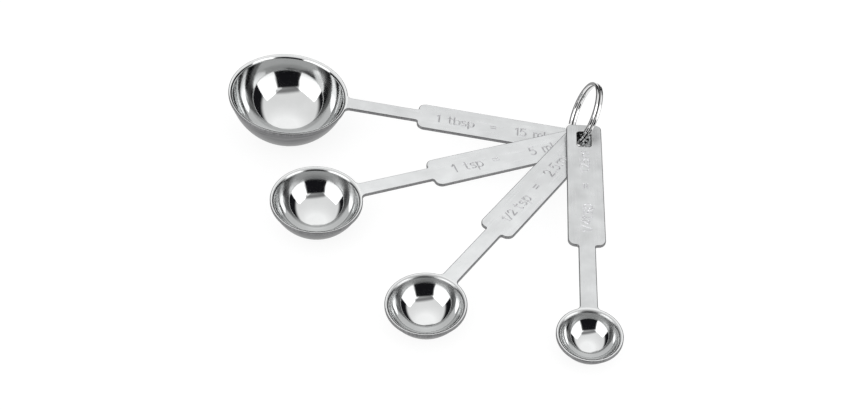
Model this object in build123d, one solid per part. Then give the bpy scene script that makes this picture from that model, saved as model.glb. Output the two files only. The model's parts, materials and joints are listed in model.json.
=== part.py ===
from build123d import *
import os
from math import acos, asin, atan2, cos, degrees, hypot, pi, radians, sin, sqrt

os.makedirs("parts", exist_ok=True)

# A set of four pressed sheet steel measuring spoons, fanned out on one split ring.
# Millimetres, +Z up. The bowls and the ring stand on the plane z = 0.

# Sheet, handle and rim sizes that the four spoons share
sheet = 1.2
tab_width = 12.9
tab_end_radius = 2.2
tab_shoulder_radius = 2.7
tab_notch_radius = 0.7
neck_width = 5.8
neck_length = 26.8
neck_root_radius = 1.8
hole_width = 5.0
hole_length = 7.8
hole_corner_radius = 1.0
hole_to_tab_end = 7.7
rim_land = 0.3
rim_bend_under_radius = 0.2

# Distance from each hanging hole to the shoulder where the tab ends
tablespoon_tab_reach = 58.4
teaspoon_tab_reach = 58.1
half_teaspoon_tab_reach = 57.2
quarter_teaspoon_tab_reach = 52.0

# Bowl sizes: outer rim radius, and depth from the rim plane to the inner bottom
tablespoon_rim_radius = 22.2
tablespoon_depth = 17.8
teaspoon_rim_radius = 16.1
teaspoon_depth = 12.0
half_teaspoon_rim_radius = 13.4
half_teaspoon_depth = 9.11
quarter_teaspoon_rim_radius = 10.7
quarter_teaspoon_depth = 7.45

# What each bowl is meant to hold, in millilitres
tablespoon_capacity = 15
teaspoon_capacity = 5
half_teaspoon_capacity = 2.5
quarter_teaspoon_capacity = 1.25
cubic_mm_per_ml = 1000
volume_slices = 2000

# Split ring: wire section, mean radius and pose
ring_mean_radius = 11.6
wire_radial = 1.2
wire_axial = 1.35
wire_corner_radius = 0.5
turn_gap = 0.05
ring_lean = 21.2
ring_heading = 177.1
split_angle = 165.0
step_half_angle = 7.0
end_gap_angle = 2.0
step_sections = 7

# Fan: heading of each handle from the ring to its bowl, in degrees from +X
tablespoon_heading = 175.2
teaspoon_heading = 202.1
half_teaspoon_heading = 234.85
quarter_teaspoon_heading = 266.2

# How far each spoon is rolled about its length, in degrees, so that its front edge lies lower
tablespoon_roll = 1.4
teaspoon_roll = 3.0
half_teaspoon_roll = 0.0
quarter_teaspoon_roll = 0.0

# How far each pair of neighbours can close up, in degrees for each spoon of the pair
tablespoon_closing = 1.5
teaspoon_closing = 4.0
half_teaspoon_closing = 4.0

# Where the wire stands in each hole: from the wire to the hole's centre, along and across the handle,
# as shares of half the hole's length and half its width
tablespoon_slack_shares = (0.44, -0.21)
teaspoon_slack_shares = (0.38, -0.15)
half_teaspoon_slack_shares = (0.56, -0.08)
quarter_teaspoon_slack_shares = (0.59, -0.16)

# Heights in the stack of handles
wire_room = 2.8
stack_clearance = 0.1
settling_rounds = 12

# Sizes worked out from the ones above
bend_top_radius = sheet + rim_bend_under_radius
turn_pitch = wire_axial + turn_gap
ring_half_width = (turn_pitch + wire_axial) / 2
ring_center_height = (
    (ring_mean_radius + wire_radial / 2 - wire_corner_radius) * cos(radians(ring_lean))
    + (ring_half_width - wire_corner_radius) * sin(radians(ring_lean))
    + wire_corner_radius
)


class Spoon:
    """One pressed spoon: its sizes, and its place in the fan."""

    def __init__(self, node, rim_radius, depth, tab_reach, heading, roll, slack_shares, capacity):
        self.node = node
        self.rim_radius = rim_radius
        self.depth = depth
        self.tab_reach = tab_reach
        self.heading = heading
        self.roll = roll
        self.slack_along = slack_shares[0] * hole_length / 2
        self.slack_across = slack_shares[1] * hole_width / 2
        self.capacity = capacity
        self.mouth_radius = rim_radius - rim_land
        self.bowl_reach = tab_reach + neck_length + rim_radius
        reach_to_bend = (self.mouth_radius**2 + depth**2) / (2 * depth)
        self.ball_radius = reach_to_bend - bend_top_radius
        self.ball_height = self.ball_radius - depth
        self.height = sheet

    def tilt(self):
        """Angle by which the handle climbs to its bowl, with the bowl's bottom on z = 0."""
        ball_lift = self.ball_height * cos(radians(self.roll))
        arm = hypot(self.bowl_reach, ball_lift)
        rise = self.ball_radius + sheet - self.height
        return asin(rise / arm) - atan2(ball_lift, self.bowl_reach)

    def wire_point(self):
        """Where the ring's wire passes through the handle, on the side nearer -Y."""
        drop = ring_center_height - (self.height - sheet / 2)
        from_bottom = acos(drop / (ring_mean_radius * cos(radians(ring_lean))))
        below = ring_mean_radius * cos(from_bottom)
        beside = ring_mean_radius * sin(from_bottom)
        return RING_CENTER - RING_UP * below - RING_SIDE * beside

    def hole_center(self, swing):
        """Centre of the hole on the handle's top face, after a swing about the wire."""
        along = Vector(1, 0, 0).rotate(Axis.Z, self.heading + swing)
        across = Vector(0, 1, 0).rotate(Axis.Z, self.heading + swing)
        center = self.wire_point() + along * self.slack_along + across * self.slack_across
        return Vector(center.X, center.Y, self.height)

    def plane(self, swing=0):
        """Plane of the top face: origin in the hole's centre, X towards the bowl."""
        tilt = self.tilt()
        roll = radians(self.roll)
        along = Vector(cos(tilt), 0, sin(tilt))
        normal = Vector(-sin(tilt), 0, cos(tilt)) * cos(roll) + Vector(0, 1, 0) * sin(roll)
        return Plane(
            origin=self.hole_center(swing),
            x_dir=along.rotate(Axis.Z, self.heading + swing),
            z_dir=normal.rotate(Axis.Z, self.heading + swing),
        )

    def top_height(self, point, swing):
        """Height of the handle's top face above a point of the plan."""
        plane = self.plane(swing)
        away = point - plane.origin
        return plane.origin.Z - (away.X * plane.z_dir.X + away.Y * plane.z_dir.Y) / plane.z_dir.Z

    def thickness_upright(self):
        """Thickness of the handle's sheet, measured along +Z."""
        return sheet / self.plane().z_dir.Z


def polar(angle, radius, height):
    """Point at an angle about +Z, in degrees."""
    return Vector(radius * cos(radians(angle)), radius * sin(radians(angle)), height)


def tab_from_above(spoon, swing):
    """The handle's tab seen from above, after a swing about the wire."""
    center = spoon.hole_center(swing)
    middle = (spoon.tab_reach - hole_to_tab_end) / 2
    tab = Pos(middle, 0) * Rectangle(spoon.tab_reach + hole_to_tab_end, tab_width)
    return Pos(center.X, center.Y) * Rot(0, 0, spoon.heading + swing) * tab


def settle(lower, upper, closing):
    """Raise the upper handle until it clears the lower one, when the two are closed up."""
    upper.height = lower.height + sheet
    for _ in range(settling_rounds):
        crossing = tab_from_above(lower, closing) & tab_from_above(upper, -closing)
        gaps = []
        for corner in crossing.vertices():
            under = upper.top_height(corner, -closing) - upper.thickness_upright()
            gaps.append(under - lower.top_height(corner, closing))
        upper.height += stack_clearance - min(gaps)


def round_pair(sketch, x, y, radius):
    """Round the outline's two corners nearest to (x, y) and (x, -y)."""
    corners = [sketch.vertices().sort_by_distance((x, side * y, 0))[0] for side in (1, -1)]
    return fillet(corners, radius)


def handle_outline(spoon):
    """Outline of the flat blank: tab, neck and rim disc, with the hanging hole."""
    tab_length = spoon.tab_reach + hole_to_tab_end
    tab_middle = (spoon.tab_reach - hole_to_tab_end) / 2
    neck_run = neck_length + spoon.rim_radius
    outline = Pos(tab_middle, 0) * Rectangle(tab_length, tab_width)
    outline += Pos(spoon.tab_reach + neck_run / 2, 0) * Rectangle(neck_run, neck_width)
    outline = round_pair(outline, -hole_to_tab_end, tab_width / 2, tab_end_radius)
    outline = round_pair(outline, spoon.tab_reach, tab_width / 2, tab_shoulder_radius)
    outline = round_pair(outline, spoon.tab_reach, neck_width / 2, tab_notch_radius)
    outline += Pos(spoon.bowl_reach, 0) * Circle(spoon.rim_radius)
    root = spoon.bowl_reach - sqrt(spoon.rim_radius**2 - (neck_width / 2) ** 2)
    outline = round_pair(outline, root, neck_width / 2, neck_root_radius)
    outline -= RectangleRounded(hole_length, hole_width, hole_corner_radius)
    return outline


def bowl(spoon):
    """Drawn bowl: a ball bottom that bends out through the rim's draw radius."""
    ball_center = Vector(0, 0, spoon.ball_height)
    bend_center = Vector(spoon.mouth_radius, 0, -bend_top_radius)
    way = (bend_center - ball_center).normalized()
    half_turn = acos(-way.Z) / 2

    def on_ball(radius, angle):
        return ball_center + Vector(sin(angle), 0, -cos(angle)) * radius

    def on_bend(radius, angle):
        return bend_center + Vector(-sin(angle), 0, cos(angle)) * radius

    outer_radius = spoon.ball_radius + sheet
    inner_ball = ThreePointArc(
        on_ball(spoon.ball_radius, 0), on_ball(spoon.ball_radius, half_turn),
        on_ball(spoon.ball_radius, 2 * half_turn),
    )
    inner_bend = ThreePointArc(
        on_bend(bend_top_radius, 2 * half_turn), on_bend(bend_top_radius, half_turn),
        on_bend(bend_top_radius, 0),
    )
    edge = Line(on_bend(bend_top_radius, 0), on_bend(rim_bend_under_radius, 0))
    outer_bend = ThreePointArc(
        on_bend(rim_bend_under_radius, 0), on_bend(rim_bend_under_radius, half_turn),
        on_bend(rim_bend_under_radius, 2 * half_turn),
    )
    outer_ball = ThreePointArc(
        on_ball(outer_radius, 2 * half_turn), on_ball(outer_radius, half_turn),
        on_ball(outer_radius, 0),
    )
    axis_line = Line(on_ball(outer_radius, 0), on_ball(spoon.ball_radius, 0))
    lines = [inner_ball, inner_bend, edge, outer_bend, outer_ball, axis_line]
    profile = make_face(Wire(lines))
    return Pos(spoon.bowl_reach, 0, 0) * revolve(profile, axis=Axis.Z)


def pressed_spoon(spoon):
    """One spoon as a single solid, in its place in the fan."""
    outline = handle_outline(spoon)
    outline -= Pos(spoon.bowl_reach, 0) * Circle(spoon.mouth_radius)
    blank = extrude(outline, -sheet)
    body = blank + bowl(spoon)
    return spoon.plane().location * body


def brim_volume(spoon):
    """Volume held to the brim, in millilitres, by slices of the inner surface."""
    bend_top = Vector(spoon.mouth_radius, 0, -bend_top_radius)
    way = (bend_top - Vector(0, 0, spoon.ball_height)).normalized()
    change_height = spoon.ball_height + way.Z * spoon.ball_radius
    step = spoon.depth / volume_slices
    total = 0
    for index in range(volume_slices):
        z = -spoon.depth + (index + 0.5) * step
        if z < change_height:
            radius = sqrt(spoon.ball_radius**2 - (z - spoon.ball_height) ** 2)
        else:
            radius = spoon.mouth_radius - sqrt(bend_top_radius**2 - (z + bend_top_radius) ** 2)
        total += pi * radius**2 * step
    return total / cubic_mm_per_ml


def wire_section(angle, offset):
    """Section of the ring's wire at an angle round the ring, in the ring's own frame."""
    place = Plane(
        origin=polar(angle, ring_mean_radius, offset),
        x_dir=polar(angle, 1, 0),
        z_dir=polar(angle + 90, 1, 0),
    )
    return place * RectangleRounded(wire_radial, wire_axial, wire_corner_radius)


def split_ring():
    """Two touching turns of one wire, with a cranked step from the first to the second."""
    turn_arc = 360 - 2 * step_half_angle - end_gap_angle
    first_start = split_angle + step_half_angle + end_gap_angle
    second_start = split_angle + step_half_angle
    first = revolve(wire_section(first_start, -turn_pitch / 2), Axis.Z, turn_arc)
    second = revolve(wire_section(second_start, turn_pitch / 2), Axis.Z, turn_arc)
    sections = []
    for index in range(step_sections):
        share = index / (step_sections - 1)
        angle = split_angle + step_half_angle * (2 * share - 1)
        offset = -turn_pitch / 2 * cos(pi * share)
        sections.append(wire_section(angle, offset))
    ring = first + loft(sections) + second
    place = Plane(origin=RING_CENTER, x_dir=RING_UP, z_dir=RING_NORMAL)
    return place.location * ring


RING_CENTER = Vector(0, 0, ring_center_height)
RING_NORMAL = polar(ring_heading, cos(radians(ring_lean)), sin(radians(ring_lean)))
RING_UP = polar(ring_heading + 180, sin(radians(ring_lean)), cos(radians(ring_lean)))
RING_SIDE = RING_NORMAL.cross(RING_UP)

tablespoon = Spoon(
    "tablespoon", tablespoon_rim_radius, tablespoon_depth, tablespoon_tab_reach,
    tablespoon_heading, tablespoon_roll, tablespoon_slack_shares, tablespoon_capacity,
)
teaspoon = Spoon(
    "teaspoon", teaspoon_rim_radius, teaspoon_depth, teaspoon_tab_reach,
    teaspoon_heading, teaspoon_roll, teaspoon_slack_shares, teaspoon_capacity,
)
half_teaspoon = Spoon(
    "half_teaspoon", half_teaspoon_rim_radius, half_teaspoon_depth, half_teaspoon_tab_reach,
    half_teaspoon_heading, half_teaspoon_roll, half_teaspoon_slack_shares, half_teaspoon_capacity,
)
quarter_teaspoon = Spoon(
    "quarter_teaspoon", quarter_teaspoon_rim_radius, quarter_teaspoon_depth, quarter_teaspoon_tab_reach,
    quarter_teaspoon_heading, quarter_teaspoon_roll, quarter_teaspoon_slack_shares, quarter_teaspoon_capacity,
)
spoons = [tablespoon, teaspoon, half_teaspoon, quarter_teaspoon]

# The handles lie on one another in the order of their bowls, the largest at the bottom
tablespoon.height = sheet + wire_room
settle(tablespoon, teaspoon, tablespoon_closing)
settle(teaspoon, half_teaspoon, teaspoon_closing)
settle(half_teaspoon, quarter_teaspoon, half_teaspoon_closing)

pieces = {"split_ring": split_ring()}
for spoon in spoons:
    pieces[spoon.node] = pressed_spoon(spoon)

# The origin is on the surface that the set lies on, under the middle of its box
box = Compound(children=[piece.solid() for piece in pieces.values()]).bounding_box()
to_origin = Pos(-box.center().X, -box.center().Y, -box.min.Z)
for node, piece in pieces.items():
    export_step(to_origin * piece.solid(), f"parts/{node}.step")

print("box", box.size, "moved by", to_origin.position)
for spoon in spoons:
    axis_point = to_origin.position + spoon.wire_point()
    print(spoon.node, "swings about", axis_point, "height", round(spoon.height, 3))
    print("  tilt", round(degrees(spoon.tilt()), 3))
    print("  holds", round(brim_volume(spoon), 3), "ml of", spoon.capacity)
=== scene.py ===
import json
from math import acos, atan2, cos, degrees, hypot, pi, radians, sin, sqrt, tan

import bmesh
import bpy
from mathutils import Matrix, Vector
from mathutils.geometry import delaunay_2d_cdt


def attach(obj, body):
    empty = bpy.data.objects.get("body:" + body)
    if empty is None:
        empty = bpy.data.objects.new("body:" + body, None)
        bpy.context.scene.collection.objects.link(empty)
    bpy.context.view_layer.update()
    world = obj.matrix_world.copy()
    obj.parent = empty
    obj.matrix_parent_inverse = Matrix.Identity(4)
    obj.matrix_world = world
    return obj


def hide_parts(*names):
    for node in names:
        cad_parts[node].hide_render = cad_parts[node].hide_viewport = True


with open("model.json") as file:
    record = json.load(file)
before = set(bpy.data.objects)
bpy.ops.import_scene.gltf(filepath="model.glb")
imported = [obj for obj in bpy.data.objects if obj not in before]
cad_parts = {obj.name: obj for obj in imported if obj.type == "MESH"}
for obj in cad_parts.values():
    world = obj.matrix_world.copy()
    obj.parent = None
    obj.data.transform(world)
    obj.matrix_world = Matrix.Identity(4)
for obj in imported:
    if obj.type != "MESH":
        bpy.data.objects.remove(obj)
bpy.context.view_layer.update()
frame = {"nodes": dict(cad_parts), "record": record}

# A set of four pressed steel measuring spoons on a split ring, in metres
mm = 0.001

# Sizes that the four spoons share
sheet_thickness = 1.2 * mm
tab_width = 12.9 * mm
tab_end_radius = 2.2 * mm
tab_shoulder_radius = 2.7 * mm
tab_notch_radius = 0.7 * mm
neck_width = 5.8 * mm
neck_length = 26.8 * mm
neck_root_radius = 1.8 * mm
hole_width = 5.0 * mm
hole_length = 7.8 * mm
hole_corner_radius = 1.0 * mm
hole_to_tab_end = 7.7 * mm
rim_land = 0.3 * mm
rim_bend_under_radius = 0.2 * mm
bend_top_radius = sheet_thickness + rim_bend_under_radius
top_edge_radius = 0.27 * mm
bottom_edge_radius = 0.15 * mm

# Capacity marks pressed into the handles
mark_height = 3.9 * mm
mark_width = 0.54 * mm
mark_depth = 0.18 * mm
mark_slope = 0.18 * mm

# Split ring
ring_mean_radius = 11.6 * mm
wire_radial = 1.2 * mm
wire_axial = 1.35 * mm
wire_corner_radius = 0.5 * mm
turn_gap = 0.05 * mm
turn_pitch = wire_axial + turn_gap
split_angle = 165.0
step_half_angle = 7.0
end_gap_angle = 2.0

# Mesh fineness
segments_round = 192
steps_bend = 10
steps_ball = 44
steps_edge = 3
steps_corner = 10
steps_root = 24
steps_stroke_end = 6
steps_wire_corner = 5
steps_crank = 16
ring_degrees_per_step = 2.0
weld_distance = 0.0001 * mm

# Each spoon: rim radius, bowl depth and the tab's reach from the hole; heading from the ring to the
# bowl, in degrees; the painted shade of the bowl's wall and the painted highlight of its rim, which
# differ from spoon to spoon, and the wall's haze, which adds to its roughness; and its marks, each word
# with the distance from the hole to where it starts and its share of the height
SPOONS = {
    "tablespoon": {
        "rim_radius": 22.2 * mm, "depth": 17.8 * mm, "tab_reach": 58.4 * mm, "heading": 175.2,
        "wall_shade_tone": 0.50, "rim_highlight_tone": 0.76, "wall_haze": 0.05,
        "marks": [("1", 51.2 * mm, 1.0), ("tbsp", 46.9 * mm, 1.0), ("=", 30.7 * mm, 1.0),
                  ("15", 21.3 * mm, 1.0), ("ml", 14.1 * mm, 1.0)],
    },
    "teaspoon": {
        "rim_radius": 16.1 * mm, "depth": 12.0 * mm, "tab_reach": 58.1 * mm, "heading": 202.1,
        "wall_shade_tone": 0.46, "rim_highlight_tone": 0.66, "wall_haze": 0.16,
        "marks": [("1", 49.5 * mm, 1.0), ("tsp", 45.0 * mm, 1.0), ("=", 33.5 * mm, 1.0),
                  ("5", 18.7 * mm, 1.0), ("ml", 13.3 * mm, 1.0)],
    },
    "half_teaspoon": {
        "rim_radius": 13.4 * mm, "depth": 9.11 * mm, "tab_reach": 57.2 * mm, "heading": 234.85,
        "wall_shade_tone": 0.42, "rim_highlight_tone": 0.56, "wall_haze": 0.24,
        "marks": [("1/2", 50.3 * mm, 0.8), ("tsp", 42.7 * mm, 1.0), ("=", 30.8 * mm, 1.0),
                  ("2.5", 22.1 * mm, 1.0), ("ml", 14.5 * mm, 1.0)],
    },
    "quarter_teaspoon": {
        "rim_radius": 10.7 * mm, "depth": 7.45 * mm, "tab_reach": 52.0 * mm, "heading": 266.2,
        "wall_shade_tone": 0.42, "rim_highlight_tone": 0.56, "wall_haze": 0.24,
        "marks": [("1/4", 46.0 * mm, 0.8), ("tsp", 39.9 * mm, 1.0), ("=", 24.9 * mm, 1.0),
                  ("1.25", 17.2 * mm, 0.8), ("ml", 9.9 * mm, 0.8)],
    },
}


def spread(start, end, steps):
    """Evenly spaced values from start to end, both included."""
    return [start + (end - start) * i / steps for i in range(steps + 1)]


def arc(center, radius, start, end, steps=steps_corner):
    """Points and outward directions on an arc, angles in degrees."""
    made = []
    for angle in spread(radians(start), radians(end), steps):
        way = Vector((cos(angle), sin(angle)))
        made.append((Vector(center) + way * radius, way))
    return made


def hollow_arc(center, radius, start, end, steps=steps_corner):
    """An arc whose centre lies outside the metal, so that outward is towards its centre."""
    return [(point, -way) for point, way in arc(center, radius, start, end, steps)]


def bowl_to_hole(spoon):
    """Distance from the bowl's centre to the middle of the hanging hole."""
    return spoon["tab_reach"] + neck_length + spoon["rim_radius"]


def blank_outline(spoon):
    """Closed outline of the pressed blank, as points and outward directions, about the bowl's centre."""
    rim = spoon["rim_radius"]
    reach = bowl_to_hole(spoon)
    shoulder = spoon["tab_reach"] - reach
    tab_end = -hole_to_tab_end - reach
    half_neck, half_tab = neck_width / 2, tab_width / 2
    root_y = half_neck + neck_root_radius
    root_x = -sqrt((rim + neck_root_radius) ** 2 - root_y**2)
    root_angle = degrees(atan2(root_y, root_x))
    notch = (shoulder + tab_notch_radius, half_neck + tab_notch_radius)
    corner = (shoulder - tab_shoulder_radius, half_tab - tab_shoulder_radius)
    end = (tab_end + tab_end_radius, half_tab - tab_end_radius)
    half = arc((0, 0), rim, 0, root_angle, segments_round // 2)
    half += hollow_arc((root_x, root_y), neck_root_radius, root_angle + 180, 270)
    half += hollow_arc(notch, tab_notch_radius, 270, 180)
    half += arc(corner, tab_shoulder_radius, 0, 90)
    half += arc(end, tab_end_radius, 90, 180)
    mirrored = [(Vector((p.x, -p.y)), Vector((w.x, -w.y))) for p, w in reversed(half[1:])]
    return half + mirrored


def hole_outline(spoon):
    """Closed outline of the hanging hole."""
    reach = bowl_to_hole(spoon)
    side_x = hole_length / 2 - hole_corner_radius
    side_y = hole_width / 2 - hole_corner_radius
    made = []
    for quarter, (sx, sy) in enumerate([(1, 1), (-1, 1), (-1, -1), (1, -1)]):
        center = (sx * side_x - reach, sy * side_y)
        made += hollow_arc(center, hole_corner_radius, 90 * quarter, 90 * quarter + 90)
    return made


def letter_arc(cx, cy, rx, ry, start, end, steps=12):
    """Points of an elliptical arc of a letter, in shares of the letter's height."""
    angles = spread(radians(start), radians(end), steps)
    return [(cx + rx * cos(angle), cy + ry * sin(angle)) for angle in angles]


# Plain single-stroke letters and digits: width, then strokes, in shares of the height
GLYPHS = {
    "1": (0.30, [[(0.02, 0.78), (0.24, 1.0), (0.24, 0.0)]]),
    "2": (0.58, [letter_arc(0.28, 0.72, 0.27, 0.28, 170, -38) + [(0.02, 0.0), (0.58, 0.0)]]),
    "4": (0.62, [[(0.46, 0.0), (0.46, 1.0), (0.0, 0.28), (0.62, 0.28)]]),
    "5": (0.56, [[(0.52, 1.0), (0.10, 1.0), (0.05, 0.56)]
                 + letter_arc(0.26, 0.33, 0.29, 0.33, 125, -140)]),
    ".": (0.10, [[(0.05, 0.0), (0.05, 0.05)]]),
    "/": (0.46, [[(0.0, -0.06), (0.46, 1.06)]]),
    "=": (0.50, [[(0.0, 0.34), (0.50, 0.34)], [(0.0, 0.62), (0.50, 0.62)]]),
    "t": (0.40, [[(0.16, 0.95)] + letter_arc(0.30, 0.14, 0.14, 0.14, 180, 280, 6),
                 [(0.0, 0.68), (0.38, 0.68)]]),
    "b": (0.54, [[(0.0, 1.0), (0.0, 0.0)], letter_arc(0.27, 0.34, 0.27, 0.34, 180, -180, 24)]),
    "s": (0.44, [letter_arc(0.22, 0.52, 0.19, 0.17, 35, 250, 9)
                 + letter_arc(0.22, 0.18, 0.20, 0.18, 75, -145, 9)]),
    "p": (0.54, [[(0.0, 0.70), (0.0, -0.30)], letter_arc(0.27, 0.34, 0.27, 0.34, 180, -180, 24)]),
    "m": (0.80, [[(0.0, 0.70), (0.0, 0.0)],
                 letter_arc(0.20, 0.48, 0.20, 0.20, 180, 0, 8) + [(0.40, 0.0)],
                 letter_arc(0.60, 0.48, 0.20, 0.20, 180, 0, 8) + [(0.80, 0.0)]]),
    "l": (0.06, [[(0.03, 1.0), (0.03, 0.0)]]),
}
# Gap between letters, and height of the tab's middle line in them, in shares of the height
letter_gap_share = 0.2
middle_line_share = 0.5

# A stroke is cut in two where it turns by more than this
sharp_corner = radians(40)

# Limit to how far an outline's corner moves out, and the least depth that counts as pressed in
least_corner_share = 0.5
least_sunk_share = 0.12


def cut_at_corners(line):
    """The stretches of a line between its sharp corners, so that each gets round ends."""
    stretches, start = [], 0
    for i in range(1, len(line) - 1):
        if (line[i] - line[i - 1]).angle(line[i + 1] - line[i]) > sharp_corner:
            stretches.append(line[start:i + 1])
            start = i
    return stretches + [line[start:]]


def mark_strokes(spoon):
    """Centre lines of the marks, as lists of points on the tab's top face."""
    reach = bowl_to_hole(spoon)
    strokes = []
    for word, start, share in spoon["marks"]:
        x = start - reach
        height = mark_height * share
        for letter in word:
            width, lines = GLYPHS[letter]
            for line in lines:
                placed = [Vector((x - u * height, (middle_line_share - v) * height)) for u, v in line]
                strokes += cut_at_corners(placed)
            x -= (width + letter_gap_share) * height
    return strokes


def stroke_outline(line, radius):
    """Closed outline with round ends at a distance from an open line of points."""
    ways = [(b - a).normalized() for a, b in zip(line, line[1:])]
    sides = []
    for index in range(len(line)):
        before = ways[max(index - 1, 0)]
        after = ways[min(index, len(ways) - 1)]
        way = before + after
        side = Vector((-way.y, way.x)).normalized()
        stretch = max(side.dot(Vector((-before.y, before.x))), least_corner_share)
        sides.append(side * (radius / stretch))
    points = [p + s for p, s in zip(line, sides)]
    for end, way in ((line[-1], ways[-1]), (line[0], -ways[0])):
        turn = atan2(way.y, way.x)
        cap = [turn + pi / 2 - pi * i / steps_stroke_end for i in range(1, steps_stroke_end)]
        points += [end + Vector((cos(angle), sin(angle))) * radius for angle in cap]
        if end is line[-1]:
            points += [p - s for p, s in reversed(list(zip(line, sides)))]
    return points


def distance_to(point, line):
    """Distance in the plane from a point to a line of points."""
    gaps = []
    for a, b in zip(line, line[1:]):
        run = b - a
        share = max(0.0, min(1.0, (point - a).dot(run) / run.length_squared))
        gaps.append((point - a - run * share).length)
    return min(gaps)


def add_to_scene(name, data):
    made = bpy.data.objects.new(name, data)
    bpy.context.scene.collection.objects.link(made)
    return made


class Skin:
    """A closed mesh in the making, with a smooth normal on each point and a finish on each face."""

    def __init__(self):
        self.points, self.normals = [], []
        self.faces, self.finishes, self.flat = [], [], []

    def add_points(self, points, normals):
        first = len(self.points)
        self.points += [Vector(p) for p in points]
        self.normals += [Vector(n).normalized() for n in normals]
        return list(range(first, len(self.points)))

    def add_face(self, corners, finish, flat=False):
        self.faces.append(tuple(corners))
        self.finishes.append(finish)
        self.flat.append(flat)

    def join_loops(self, one, two, finish):
        """A band of faces between two closed loops with as many points."""
        count = len(one)
        for i in range(count):
            j = (i + 1) % count
            self.add_face((one[i], one[j], two[j], two[i]), finish)

    def build(self, name, finishes, seat):
        """Weld the points that lie together, move the mesh to its seat and set its normals."""
        bm = bmesh.new()
        own_place = bm.verts.layers.float_vector.new("place")
        kept_normal = bm.verts.layers.float_vector.new("kept_normal")
        is_flat = bm.faces.layers.int.new("is_flat")
        for point, normal in zip(self.points, self.normals):
            vertex = bm.verts.new(point)
            vertex[own_place] = point
            vertex[kept_normal] = seat.to_3x3() @ normal
        bm.verts.ensure_lookup_table()
        for corners, finish, flat in zip(self.faces, self.finishes, self.flat):
            face = bm.faces.new([bm.verts[c] for c in corners])
            face.material_index = finish
            face.smooth = True
            face[is_flat] = int(flat)
        bmesh.ops.remove_doubles(bm, verts=bm.verts, dist=weld_distance)
        bmesh.ops.recalc_face_normals(bm, faces=bm.faces)
        bm.transform(seat)
        bm.normal_update()
        loop_normals = []
        for face in bm.faces:
            for loop in face.loops:
                normal = face.normal if face[is_flat] else loop.vert[kept_normal]
                loop_normals.append(normal.copy())
        open_edges = [edge for edge in bm.edges if not edge.is_manifold]
        print(name, "points", len(bm.verts), "faces", len(bm.faces), "open edges", len(open_edges))
        bm.verts.layers.float_vector.remove(kept_normal)
        mesh = bpy.data.meshes.new(name)
        bm.to_mesh(mesh)
        bm.free()
        for finish in finishes:
            mesh.materials.append(finish)
        mesh.normals_split_custom_set(loop_normals)
        return add_to_scene(name, mesh)


# Places of the finishes in a spoon's list of materials
SATIN, EDGE, MIRROR, TURNED, STAMPED, PUNCHED = range(6)


def add_edges(skin, outline, finish):
    """The sheet's edge along an outline: rounded at its top, cut straight, and rounded again below."""
    loops = []
    for angle in spread(0, pi / 2, steps_edge):
        inset, drop = top_edge_radius * (1 - sin(angle)), top_edge_radius * (1 - cos(angle))
        points = [(p - w * inset).to_3d() - Vector((0, 0, drop)) for p, w in outline]
        normals = [w.to_3d() * sin(angle) + Vector((0, 0, cos(angle))) for _, w in outline]
        loops.append(skin.add_points(points, normals))
    for angle in spread(0, pi / 2, steps_edge):
        inset = bottom_edge_radius * (1 - cos(angle))
        height = -sheet_thickness + bottom_edge_radius * (1 - sin(angle))
        points = [(p - w * inset).to_3d() + Vector((0, 0, height)) for p, w in outline]
        normals = [w.to_3d() * cos(angle) - Vector((0, 0, sin(angle))) for _, w in outline]
        loops.append(skin.add_points(points, normals))
    for one, two in zip(loops, loops[1:]):
        skin.join_loops(one, two, finish)


def closed_edges(first, count):
    """Pairs of neighbours in a closed loop of points, by number."""
    return [(first + i, first + (i + 1) % count) for i in range(count)]


# Cutting of the flat faces: the stretch of the rim, in degrees, where the neck joins it, and how finely
# points are told apart, in millimetres; the cutter is asked for what lies inside the outlines
neck_root_from = 150
neck_root_to = 210
cut_tolerance = 1e-5
inside_outlines = 1


def cut_flat(spoon, outline, hole, inset, strokes):
    """Points and faces of a flat face without its hole and mouth, with edges where the marks run."""
    mouth = spoon["rim_radius"] - rim_land
    outer = [p - w * inset for p, w in outline]
    inner = [p - w * inset for p, w in hole]
    circle = [p for p, _ in arc((0, 0), mouth, 0, 360, segments_round)][:-1]
    points, edges, loops = [], [], []
    for loop in (outer, inner, circle):
        edges += closed_edges(len(points), len(loop))
        loops.append(list(range(len(points), len(points) + len(loop))))
        points += loop
    root = [p for p, _ in arc((0, 0), spoon["rim_radius"], neck_root_from, neck_root_to, steps_root)]
    root = [p for p in root if abs(p.y) < neck_width / 2]
    first = len(points)
    points += root
    edges += [(first + i, first + i + 1) for i in range(len(root) - 1)]
    for line in strokes:
        for radius in (mark_width / 2, mark_width / 2 - mark_slope):
            loop = stroke_outline(line, radius)
            edges += closed_edges(len(points), len(loop))
            points += loop
    scale = 1 / mm
    cut = delaunay_2d_cdt([p * scale for p in points], edges, loops, inside_outlines, cut_tolerance)
    cut_points, _, cut_faces, _, _, loops_round = cut
    faces = [face for face, inside in zip(cut_faces, loops_round) if set(inside) == {0}]
    return [p / scale for p in cut_points], faces


def sunk_depth(point, strokes):
    """How deep the marks are pressed in at a point of the top face."""
    depth = 0
    for line in strokes:
        low_x = min(q.x for q in line) - mark_width
        high_x = max(q.x for q in line) + mark_width
        if low_x < point.x < high_x:
            into = (mark_width / 2 - distance_to(point, line)) / mark_slope
            if into > least_sunk_share:
                depth = max(depth, mark_depth * min(into, 1))
    return depth


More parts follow.
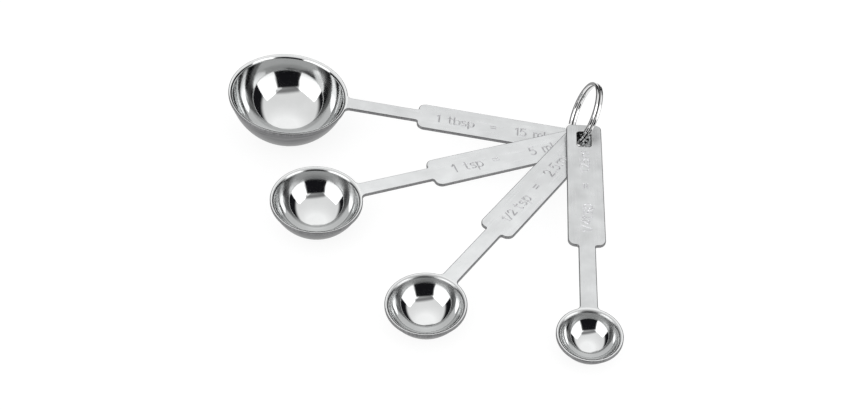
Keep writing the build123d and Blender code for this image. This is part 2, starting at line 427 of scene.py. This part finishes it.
def add_flat(skin, spoon, outline, hole, inset, height, strokes):
    """The flat face at a height, with the marks pressed in."""
    points, faces = cut_flat(spoon, outline, hole, inset, strokes)
    facing_up = height == 0
    normal = Vector((0, 0, 1 if facing_up else -1))
    heights = [height - sunk_depth(point, strokes) for point in points]
    places = [(p.x, p.y, z) for p, z in zip(points, heights)]
    ids = skin.add_points(places, [normal] * len(places))
    for face in faces:
        sunk = any(heights[c] != height for c in face)
        middle = sum((points[c] for c in face), Vector((0, 0))) / len(face)
        finish = SATIN
        if middle.length < spoon["rim_radius"]:
            finish = MIRROR if facing_up else TURNED
        if sunk:
            finish = STAMPED
        skin.add_face([ids[c] for c in face], finish, flat=sunk)


def bowl_shape(spoon):
    """Mouth radius, the inner ball's radius and centre height, and the angle where its bend starts."""
    mouth = spoon["rim_radius"] - rim_land
    depth = spoon["depth"]
    ball_radius = (mouth**2 + depth**2) / (2 * depth) - bend_top_radius
    ball_height = ball_radius - depth
    turn = acos((bend_top_radius + ball_height) / hypot(mouth, bend_top_radius + ball_height))
    return mouth, ball_radius, ball_height, turn


def add_bowl_side(skin, spoon, thickness, finish):
    """One side of the drawn bowl: the rim's bend, then the ball bottom."""
    mouth, ball_radius, ball_height, turn = bowl_shape(spoon)
    bend = bend_top_radius - thickness
    ball = ball_radius + thickness
    sign = 1 if thickness == 0 else -1
    profile = []
    for angle in spread(0, turn, steps_bend):
        profile.append((mouth - bend * sin(angle), bend * cos(angle) - bend_top_radius, angle))
    for angle in spread(turn, 0, steps_ball)[1:-1]:
        profile.append((ball * sin(angle), ball_height - ball * cos(angle), angle))
    rings = []
    for radius, height, angle in profile:
        points, normals = [], []
        for point, way in arc((0, 0), radius, 0, 360, segments_round)[:-1]:
            points.append((point.x, point.y, height))
            normals.append(Vector((-way.x * sin(angle), -way.y * sin(angle), cos(angle))) * sign)
        rings.append(skin.add_points(points, normals))
    for one, two in zip(rings, rings[1:]):
        skin.join_loops(one, two, finish)
    pole = skin.add_points([(0, 0, ball_height - ball)], [(0, 0, sign)])[0]
    for i in range(segments_round):
        skin.add_face((rings[-1][i], rings[-1][(i + 1) % segments_round], pole), finish)


# A face looks up where its normal's Z is over this
least_upright = 0.9


def seat_of(node, spoon):
    """Place of a spoon's frame: origin at the bowl's centre, level with the rim, X away from the ring."""
    mesh = frame["nodes"][node].data
    facing_up = [p for p in mesh.polygons if p.normal.z > least_upright]
    widest = max(facing_up, key=lambda p: p.area)
    up = widest.normal.normalized()
    heading = radians(spoon["heading"])
    along = Vector((cos(heading), sin(heading), 0))
    along.z = -along.dot(up) / up.z
    along.normalize()
    across = up.cross(along)
    corners = [v.co for v in mesh.vertices]
    reach = max(c.dot(along) for c in corners) - spoon["rim_radius"]
    sides = [c.dot(across) for c in corners]
    middle = (max(sides) + min(sides)) / 2
    level = max(c.dot(up) for c in corners)
    place = Matrix((along, across, up)).transposed().to_4x4()
    place.translation = along * reach + across * middle + up * level
    return place


def make_spoon(node, spoon, finishes):
    """One pressing: edges, flat faces and both sides of the bowl, as one closed mesh."""
    outline, hole = blank_outline(spoon), hole_outline(spoon)
    skin = Skin()
    add_edges(skin, outline, EDGE)
    add_edges(skin, hole, PUNCHED)
    add_flat(skin, spoon, outline, hole, top_edge_radius, 0, mark_strokes(spoon))
    add_flat(skin, spoon, outline, hole, bottom_edge_radius, -sheet_thickness, [])
    add_bowl_side(skin, spoon, 0, MIRROR)
    add_bowl_side(skin, spoon, sheet_thickness, TURNED)
    made = skin.build(node + "_pressing", finishes, seat_of(node, spoon))
    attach(made, node)
    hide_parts(node)


def wire_section():
    """Rounded section of the wire: radial and axial offsets with their directions."""
    side_r = wire_radial / 2 - wire_corner_radius
    side_a = wire_axial / 2 - wire_corner_radius
    made = []
    for quarter, (sr, sa) in enumerate([(1, 1), (-1, 1), (-1, -1), (1, -1)]):
        center = (sr * side_r, sa * side_a)
        made += arc(center, wire_corner_radius, 90 * quarter, 90 * quarter + 90, steps_wire_corner)
    return made


def ring_path():
    """Angle round the ring and offset along its axis, from one end of the wire to the other end."""
    turn_arc = 360 - 2 * step_half_angle - end_gap_angle
    start = split_angle + step_half_angle + end_gap_angle
    steps = int(turn_arc / ring_degrees_per_step)
    path = [(a, -turn_pitch / 2) for a in spread(start, start + turn_arc, steps)]
    for share in spread(0, 1, steps_crank)[1:-1]:
        angle = split_angle + 360 + step_half_angle * (2 * share - 1)
        path.append((angle, -turn_pitch / 2 * cos(pi * share)))
    second = split_angle + 360 + step_half_angle
    path += [(a, turn_pitch / 2) for a in spread(second, second + turn_arc, steps)]
    return path


def make_ring(finish):
    """The wire swept along its two turns, in the lean that the ring's mount gives."""
    mount = frame["record"]["mounts"][0]
    up = Vector(mount["axis"]).normalized()
    level = Vector((up.x, up.y, 0))
    lean = atan2(level.length, up.z)
    axis = -level.normalized() * cos(lean) + Vector((0, 0, sin(lean)))
    center = Vector(mount["pos_m"]) - up * (ring_mean_radius - wire_radial / 2)
    section = wire_section()
    wire = Skin()
    loops = []
    path = ring_path()
    for index, (angle, offset) in enumerate(path):
        before, after = path[max(index - 1, 0)], path[min(index + 1, len(path) - 1)]
        climb = atan2(after[1] - before[1], radians(after[0] - before[0]) * ring_mean_radius)
        out = Vector((cos(radians(angle)), sin(radians(angle)), 0))
        onward = Vector((-out.y, out.x, 0))
        axial = Vector((0, 0, cos(climb))) - onward * sin(climb)
        middle = out * ring_mean_radius + Vector((0, 0, offset))
        points = [middle + out * p.x + axial * p.y for p, _ in section]
        normals = [out * w.x + axial * w.y for _, w in section]
        loops.append(wire.add_points(points, normals))
    for one, two in zip(loops, loops[1:]):
        wire.join_loops(one, two, 0)
    wire.add_face(loops[0], 0, flat=True)
    wire.add_face(loops[-1], 0, flat=True)
    seat = Matrix((up, axis.cross(up), axis)).transposed().to_4x4()
    seat.translation = center
    made = wire.build("split_ring_wire", [finish], seat)
    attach(made, "split_ring")
    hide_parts("split_ring")


# Most values of a noise node lie between these two
noise_low = 0.3
noise_high = 0.7


class Nodes:
    """Short way to add and link shader nodes."""

    def __init__(self, tree):
        self.tree = tree

    def feed(self, node, inputs):
        """Set inputs of a node, each by a value or by a link from another node."""
        for key, value in inputs.items():
            if isinstance(value, bpy.types.NodeSocket):
                self.tree.links.new(value, node.inputs[key])
            else:
                node.inputs[key].default_value = value

    def add(self, kind, inputs=None, **settings):
        node = self.tree.nodes.new(kind)
        for key, value in settings.items():
            setattr(node, key, value)
        self.feed(node, inputs or {})
        return node

    def math(self, operation, one, two=0.0):
        return self.add("ShaderNodeMath", {0: one, 1: two}, operation=operation).outputs[0]

    def separate(self, vector):
        return self.add("ShaderNodeSeparateXYZ", {"Vector": vector}).outputs

    def noise(self, place, scale, detail):
        inputs = {"Vector": place, "Scale": scale, "Detail": detail}
        return self.add("ShaderNodeTexNoise", inputs).outputs["Fac"]

    def between(self, noise, least_and_most):
        """The noise, spread out between two values."""
        least, most = least_and_most
        return self.add("ShaderNodeMapRange", {
            "Value": noise, "From Min": noise_low, "From Max": noise_high,
            "To Min": least, "To Max": most}).outputs[0]

    def fade(self, value, start, end, at_start, at_end):
        """A smooth change from one level to another, as a value goes from start to end."""
        return self.add("ShaderNodeMapRange", {
            "Value": value, "From Min": start, "From Max": end,
            "To Min": at_start, "To Max": at_end}, interpolation_type="SMOOTHSTEP").outputs[0]

    def bump(self, height, strength, distance, **under):
        inputs = {"Height": height, "Strength": strength, "Distance": distance, **under}
        return self.add("ShaderNodeBump", inputs).outputs[0]

    def tinted(self, tone, tint):
        """A grey of this tone, with its red, green and blue times the tint's."""
        channels = zip(("Red", "Green", "Blue"), tint)
        inputs = {channel: self.math("MULTIPLY", tone, share) for channel, share in channels}
        return self.add("ShaderNodeCombineColor", inputs).outputs[0]


def new_metal(name):
    """A metal's material, its nodes, its shader, and the place on the piece in the piece's own frame."""
    material = bpy.data.materials.new(name)
    material.use_nodes = True
    nodes = Nodes(material.node_tree)
    shader = material.node_tree.nodes["Principled BSDF"]
    shader.inputs["Metallic"].default_value = 1.0
    place = nodes.add("ShaderNodeAttribute", attribute_name="place").outputs["Vector"]
    return material, nodes, shader, place


def from_axis(nodes, place):
    """X, Y and Z of a place on a piece, and its distance from the piece's Z axis."""
    x, y, z = nodes.separate(place)
    square = nodes.math("ADD", nodes.math("MULTIPLY", x, x), nodes.math("MULTIPLY", y, y))
    return x, y, z, nodes.math("SQRT", square)


def turning_marks(nodes, place, across, along):
    """Noise drawn out into rings about the piece's Z axis, with its scales across and along them."""
    x, y, z, radius = from_axis(nodes, place)
    ring_place = nodes.add("ShaderNodeCombineXYZ", {
        "X": nodes.math("MULTIPLY", radius, across),
        "Y": nodes.math("ADD", nodes.math("MULTIPLY", z, across), nodes.math("MULTIPLY", y, along)),
        "Z": nodes.math("MULTIPLY", x, along)})
    return nodes.noise(ring_place.outputs[0], 1.0, fine_detail)


# Finishes of the metals: tones from dark to pale, roughness from least to most, noise scales per metre
neutral_tint = (1.0, 1.0, 1.0)
cool_tint = (1.0, 1.0, 1.02)
slow_detail = 1.0
cloud_detail = 2.0
fine_detail = 3.0

pale_satin_tones = (0.85, 0.95)
# A darker copy of the same satin steel for the quarter teaspoon's handle: painted shade
shaded_satin_tones = (0.66, 0.80)
satin_tint = (0.985, 1.0, 1.005)
satin_roughness = (0.26, 0.38)
satin_grain_scales = (60, 3200, 3200)
satin_blotch_scale = 130.0
satin_ripple_scale = 70.0
satin_grain_strength = 0.25
satin_grain_depth = 0.02 * mm
satin_ripple_strength = 0.6
satin_ripple_depth = 0.4 * mm


def satin_steel(name, tones):
    """Brushed along the handle, with slow ripples left by the press."""
    material, nodes, shader, place = new_metal(name)
    grain_place = nodes.add("ShaderNodeMapping", {"Vector": place, "Scale": satin_grain_scales})
    grain = nodes.noise(grain_place.outputs[0], 1.0, fine_detail)
    blotch = nodes.noise(place, satin_blotch_scale, cloud_detail)
    ripple = nodes.noise(place, satin_ripple_scale, slow_detail)
    fine = nodes.bump(grain, satin_grain_strength, satin_grain_depth)
    nodes.feed(shader, {
        "Base Color": nodes.tinted(nodes.between(blotch, tones), satin_tint),
        "Roughness": nodes.between(grain, satin_roughness),
        "Normal": nodes.bump(ripple, satin_ripple_strength, satin_ripple_depth, Normal=fine)})
    return material


# Tones of the cut edges: the outline's are partly the sheared steel's own darker tone and partly a
# painted shade outline; the hole's are near black, a painted shade in the hole
outer_edge_tones_and_shade = (0.16, 0.27)
hole_shade_tones = (0.03, 0.08)
edge_roughness = 0.4
edge_grain_scales = (2500, 2500, 300)
edge_grain_strength = 0.3
edge_grain_depth = 0.03 * mm


def sheared_edge(name, tones):
    """A cut edge of the sheet: rougher than its faces, and darker, partly as the sheared steel's own tone
    and partly as painted shade.
    """
    material, nodes, shader, place = new_metal(name)
    grain_place = nodes.add("ShaderNodeMapping", {"Vector": place, "Scale": edge_grain_scales})
    grain = nodes.noise(grain_place.outputs[0], 1.0, fine_detail)
    nodes.feed(shader, {
        "Base Color": nodes.tinted(nodes.between(grain, tones), cool_tint),
        "Roughness": edge_roughness,
        "Normal": nodes.bump(grain, edge_grain_strength, edge_grain_depth)})
    return material


# Tones of the marks: painted shade in the grooves, and a paler painted highlight for the quarter
# teaspoon's marks
mark_shade_tones = (0.58, 0.70)
mark_highlight_tones = (0.74, 0.88)
mark_roughness = 0.5
mark_grain_scale = 2400.0
mark_grain_strength = 0.3
mark_grain_depth = 0.02 * mm


def stamped_steel(name, tones):
    """Pressed marks, set off from the brushed face round them by their tones: darker as painted shade in
    the grooves, or paler as a painted highlight.
    """
    material, nodes, shader, place = new_metal(name)
    grain = nodes.noise(place, mark_grain_scale, cloud_detail)
    nodes.feed(shader, {
        "Base Color": nodes.tinted(nodes.between(grain, tones), cool_tint),
        "Roughness": mark_roughness,
        "Normal": nodes.bump(grain, mark_grain_strength, mark_grain_depth)})
    return material


# Painted reflection on the bowls: tones from the middle outwards, with painted highlights in the middle,
# on the rim and on the land and painted shade on the steep wall, and the slopes between which they change
middle_highlight_tone = 0.92
bottom_tone = 0.70
land_highlight_tone = 0.90
middle_from = radians(12)
middle_to = radians(46)
wall_from = radians(57)
wall_to = radians(68)
land_from = radians(22)
land_to = radians(8)
rim_bright_share = 0.4
bowl_tint = (0.99, 1.0, 1.0)
bowl_mottle = (0.95, 1.0)
bowl_mottle_scale = 160.0
bowl_roughness = (0.03, 0.07)
bowl_marks_across = 2200.0
bowl_marks_along = 60.0
bowl_marks_strength = 0.12
bowl_marks_depth = 0.01 * mm


def mirror_steel(name, spoon):
    """Polished inside of a bowl, with faint rings from the polishing wheel, a hazier steep wall, and
    painted reflection in its tone: painted highlights in the middle, on the rim and on the land, and
    painted shade on the steep wall.
    """
    _, ball_radius, ball_height, turn = bowl_shape(spoon)
    wall_shade_tone, rim_highlight_tone = spoon["wall_shade_tone"], spoon["rim_highlight_tone"]

    def rise_at(angle):
        """Height over distance from the bowl's axis, where the ball has this slope."""
        return (ball_height - ball_radius * cos(angle)) / (ball_radius * sin(angle))

    def bend_height(angle):
        """Height of the rim's bend where it has this slope."""
        return bend_top_radius * (cos(angle) - 1)

    material, nodes, shader, place = new_metal(name)
    rings = turning_marks(nodes, place, bowl_marks_across, bowl_marks_along)
    cloud = nodes.noise(place, bowl_mottle_scale, cloud_detail)
    _, _, z, radius = from_axis(nodes, place)
    rise = nodes.math("DIVIDE", z, radius)
    rim_from, rim_to = rise_at(turn), rise_at(turn) * rim_bright_share
    # Painted reflection: painted shade on the steep wall, painted highlights on the rim's bend, the land
    # and the middle
    wall = nodes.fade(rise, rise_at(wall_from), rise_at(wall_to), bottom_tone, wall_shade_tone)
    rim = nodes.fade(rise, rim_from, rim_to, 0.0, rim_highlight_tone - wall_shade_tone)
    land = nodes.fade(z, bend_height(land_from), bend_height(land_to), 0.0, land_highlight_tone - rim_highlight_tone)
    middle = nodes.fade(rise, rise_at(middle_from), rise_at(middle_to), middle_highlight_tone - bottom_tone, 0.0)
    haze = nodes.fade(rise, rise_at(wall_from), rise_at(wall_to), 0.0, spoon["wall_haze"])
    tone = wall
    for change in (rim, land, middle):
        tone = nodes.math("ADD", tone, change)
    tone = nodes.math("MULTIPLY", nodes.between(cloud, bowl_mottle), tone)
    nodes.feed(shader, {
        "Base Color": nodes.tinted(tone, bowl_tint),
        "Roughness": nodes.math("ADD", nodes.between(rings, bowl_roughness), haze),
        "Normal": nodes.bump(rings, bowl_marks_strength, bowl_marks_depth)})
    return material


# Tones of the bowls' outside: partly the unpolished steel's own, partly painted shade, dark as the
# shadowed floor it reflects
turned_tones_and_shade = (0.10, 0.26)
turned_roughness = (0.30, 0.40)
turned_marks_across = 1800.0
turned_marks_along = 90.0
turned_marks_strength = 0.35
turned_marks_depth = 0.03 * mm


def turned_steel():
    """Unpolished outside of the bowls, with turning marks round them; its dark tone is partly painted
    shade beneath the bowl.
    """
    material, nodes, shader, place = new_metal("turned_steel")
    rings = turning_marks(nodes, place, turned_marks_across, turned_marks_along)
    nodes.feed(shader, {
        "Base Color": nodes.tinted(nodes.between(rings, turned_tones_and_shade), cool_tint),
        "Roughness": nodes.between(rings, turned_roughness),
        "Normal": nodes.bump(rings, turned_marks_strength, turned_marks_depth)})
    return material


# Painted shade on the wire: its tone goes down in the groove between the turns and on their flanks, each
# between two distances from the ring's middle plane
groove_from = 0.12 * mm
groove_to = 0.4 * mm
flank_from = 1.0 * mm
flank_to = 1.28 * mm
painted_shade_level = 0.2
wire_tones = (0.72, 0.86)
wire_roughness = (0.06, 0.14)
wire_marks_across = 5000.0
wire_marks_along = 80.0
wire_marks_strength = 0.15
wire_marks_depth = 0.01 * mm


def chrome_wire():
    """Bright plated wire with fine drawing lines, and painted shade in the groove between its turns and
    along their flanks.
    """
    material, nodes, shader, place = new_metal("chrome_wire")
    lines = turning_marks(nodes, place, wire_marks_across, wire_marks_along)
    from_middle = nodes.math("ABSOLUTE", nodes.separate(place)["Z"])
    # Painted shade: darker in the gap between the two turns and along the wire's flanks
    groove = nodes.fade(from_middle, groove_from, groove_to, painted_shade_level, 1.0)
    flank = nodes.fade(from_middle, flank_from, flank_to, 1.0, painted_shade_level)
    bright = nodes.math("MULTIPLY", groove, flank)
    tone = nodes.math("MULTIPLY", nodes.between(lines, wire_tones), bright)
    nodes.feed(shader, {
        "Base Color": nodes.tinted(tone, neutral_tint),
        "Roughness": nodes.between(lines, wire_roughness),
        "Normal": nodes.bump(lines, wire_marks_strength, wire_marks_depth)})
    return material


# Camera: place in metres, angles in degrees and focal length, all from the photograph's perspective
camera_place = Vector((0.00458, -0.29091, 0.30077))
camera_down = 45.25
camera_roll = 0.34
camera_focal_pixels = 1172.69
photo_width_pixels = 854
sensor_width = 36.0
nearest_seen = 0.01


def make_camera():
    data = bpy.data.cameras.new("camera")
    data.sensor_fit = "HORIZONTAL"
    data.sensor_width = sensor_width
    data.lens = camera_focal_pixels / photo_width_pixels * sensor_width
    data.clip_start = nearest_seen
    camera = add_to_scene("camera", data)
    pitch = Matrix.Rotation(radians(90 - camera_down), 4, "X")
    roll = Matrix.Rotation(radians(camera_roll), 4, "Z")
    camera.matrix_world = Matrix.Translation(camera_place) @ pitch @ roll
    bpy.context.scene.camera = camera


# Floor: its size and paint, and the plain white that replaces a share of its shade
white = (1, 1, 1, 1)
floor_size = 6.0
floor_paint = (0.9, 0.9, 0.9, 1)
floor_glow = 1.07
floor_glow_share = 0.8

# Tent: brightness of its white and of its dark horizon, and the elevations between which one turns
# into the other
tent_glow = 0.98
horizon_glow = 0.05
horizon_dark_to = 17.0
horizon_white_from = 33.0

# Flags: azimuth, elevation, half width and half height in degrees, as seen from the origin; distance
# and soft edge in metres; and darkness
FLAGS = {
    "flag_front": (-84, 22, 31, 30, 0.45, 0.08, 1.0),
    "flag_back": (98, 22, 13, 20, 0.70, 0.10, 0.6),
    "flag_back_strip": (90, 30, 48, 7.0, 0.70, 0.03, 0.9),
    "flag_camera": (-80, 54, 30, 10, 0.45, 0.07, 0.75),
    "flag_right": (25, 18, 40, 22, 0.80, 0.14, 1.0),
    "flag_left": (164, 18, 36, 22, 0.80, 0.14, 1.0),
}
flag_cloth = (0.01, 0.01, 0.012, 1)

# Soft lamps: azimuth, elevation, half width and half height in degrees, as seen from the origin;
# distance in metres; and brightness, where 1 is white
SOFTBOXES = {
    "softbox_right": (-32, 26, 24, 23, 0.62, 1.5),
    "softbox_left": (-142, 26, 27, 23, 0.62, 1.5),
}


def cleared_nodes(owner):
    """The nodes of a material or a world, switched on and cleared."""
    owner.use_nodes = True
    owner.node_tree.nodes.clear()
    return Nodes(owner.node_tree)


def rectangle(name, width, height):
    """A flat rectangle about its own origin."""
    x, y = width / 2, height / 2
    mesh = bpy.data.meshes.new(name)
    mesh.from_pydata([(-x, -y, 0), (x, -y, 0), (x, y, 0), (-x, y, 0)], [], [(0, 1, 2, 3)])
    return add_to_scene(name, mesh)


def shown_white(nodes):
    """1 for rays that look for the background: from the camera, from gloss and from glass."""
    path = nodes.add("ShaderNodeLightPath")
    seen = nodes.math("ADD", path.outputs["Is Camera Ray"], path.outputs["Is Glossy Ray"])
    seen = nodes.math("ADD", seen, path.outputs["Is Transmission Ray"])
    return nodes.math("MINIMUM", seen, 1.0)


def make_floor():
    """Plain white floor; part of its shade is kept, so that the object's shadow stays."""
    floor = rectangle("floor", floor_size, floor_size)
    material = bpy.data.materials.new("floor_white")
    nodes = cleared_nodes(material)
    paint = nodes.add("ShaderNodeBsdfDiffuse", {"Color": floor_paint})
    glow = nodes.add("ShaderNodeEmission", {"Color": white, "Strength": floor_glow})
    share = nodes.math("MULTIPLY", shown_white(nodes), floor_glow_share)
    mix = nodes.add("ShaderNodeMixShader", {0: share, 1: paint.outputs[0], 2: glow.outputs[0]})
    nodes.add("ShaderNodeOutputMaterial", {"Surface": mix.outputs[0]})
    floor.data.materials.append(material)


def make_world():
    """White tent over a dark horizon: plain white to the camera."""
    world = bpy.data.worlds.new("studio")
    bpy.context.scene.world = world
    nodes = cleared_nodes(world)
    way = nodes.add("ShaderNodeTexCoord").outputs["Generated"]
    height = nodes.separate(way)["Z"]
    dark_to, white_from = sin(radians(horizon_dark_to)), sin(radians(horizon_white_from))
    tent = nodes.fade(height, dark_to, white_from, horizon_glow, tent_glow)
    seen = nodes.add("ShaderNodeLightPath").outputs["Is Camera Ray"]
    level = nodes.add("ShaderNodeMapRange", {"Value": seen, "To Min": tent, "To Max": 1.0})
    back = nodes.add("ShaderNodeBackground", {"Color": white, "Strength": level.outputs[0]})
    nodes.add("ShaderNodeOutputWorld", {"Surface": back.outputs[0]})


def edge_fade(nodes, value, size, soft):
    """1 on a card and falling to 0 towards its two edges along one way."""
    return nodes.fade(nodes.math("ABSOLUTE", value), size / 2 - soft, size / 2, 1.0, 0.0)


def flag_material(name, width, height, soft, darkness):
    """Black cloth of a studio flag, thinning out towards its edges."""
    material = bpy.data.materials.new(name)
    nodes = cleared_nodes(material)
    x, y, _ = nodes.separate(nodes.add("ShaderNodeTexCoord").outputs["Object"])
    cover = nodes.math("MULTIPLY", edge_fade(nodes, x, width, soft), edge_fade(nodes, y, height, soft))
    cover = nodes.math("MULTIPLY", cover, darkness)
    clear = nodes.add("ShaderNodeBsdfTransparent")
    dark = nodes.add("ShaderNodeEmission", {"Color": flag_cloth, "Strength": 1.0})
    mix = nodes.add("ShaderNodeMixShader", {0: cover, 1: clear.outputs[0], 2: dark.outputs[0]})
    nodes.add("ShaderNodeOutputMaterial", {"Surface": mix.outputs[0]})
    return material


def facing_center(azimuth, elevation, distance):
    """Matrix of a card or lamp at a direction and distance from the origin, with its -Z towards it."""
    around, up = radians(azimuth), radians(elevation)
    level = distance * cos(up)
    place = Vector((level * cos(around), level * sin(around), distance * sin(up)))
    return Matrix.Translation(place) @ (-place).to_track_quat("-Z", "Y").to_matrix().to_4x4()


def card_size(half_width_angle, half_height_angle, distance):
    """Width and height of a card that spans these angles at a distance."""
    return 2 * distance * tan(radians(half_width_angle)), 2 * distance * tan(radians(half_height_angle))


def make_flag(name, azimuth, elevation, half_width, half_height, distance, soft, darkness):
    """A dark card that only gloss can see, so that it darkens reflections and nothing else."""
    width, height = card_size(half_width, half_height, distance)
    flag = rectangle(name, width, height)
    flag.data.materials.append(flag_material(name, width, height, soft, darkness))
    flag.matrix_world = facing_center(azimuth, elevation, distance)
    flag.visible_camera = False
    flag.visible_diffuse = False
    flag.visible_shadow = False
    flag.visible_transmission = False


def make_softbox(name, azimuth, elevation, half_width, half_height, distance, brightness):
    """An area lamp that looks evenly bright from the front."""
    data = bpy.data.lights.new(name, "AREA")
    data.shape = "RECTANGLE"
    data.size, data.size_y = card_size(half_width, half_height, distance)
    data.energy = brightness * pi * data.size * data.size_y
    lamp = add_to_scene(name, data)
    lamp.matrix_world = facing_center(azimuth, elevation, distance)


def make_studio():
    """White tent and floor, with dark cards and soft lamps round the object."""
    make_world()
    make_floor()
    for name, card in FLAGS.items():
        make_flag(name, *card)
    for name, card in SOFTBOXES.items():
        make_softbox(name, *card)


make_camera()
make_studio()
outer_edge = sheared_edge("sheared_edge", outer_edge_tones_and_shade)
hole_edge = sheared_edge("punched_edge_shade", hole_shade_tones)
turned = turned_steel()
pale_satin = satin_steel("satin_steel", pale_satin_tones)
shaded_satin = satin_steel("shaded_satin_steel", shaded_satin_tones)
shaded_mark = stamped_steel("stamped_steel", mark_shade_tones)
highlighted_mark = stamped_steel("stamped_steel_highlight", mark_highlight_tones)
for node, spoon in SPOONS.items():
    mirror = mirror_steel(node + "_mirror_steel", spoon)
    # The quarter teaspoon gets painted shade on its handle and a painted highlight in its marks
    satin, mark = pale_satin, shaded_mark
    if node == "quarter_teaspoon":
        satin, mark = shaded_satin, highlighted_mark
    make_spoon(node, spoon, [satin, outer_edge, mirror, turned, mark, hole_edge])
make_ring(chrome_wire())

bpy.context.scene.view_settings.view_transform = "Standard"
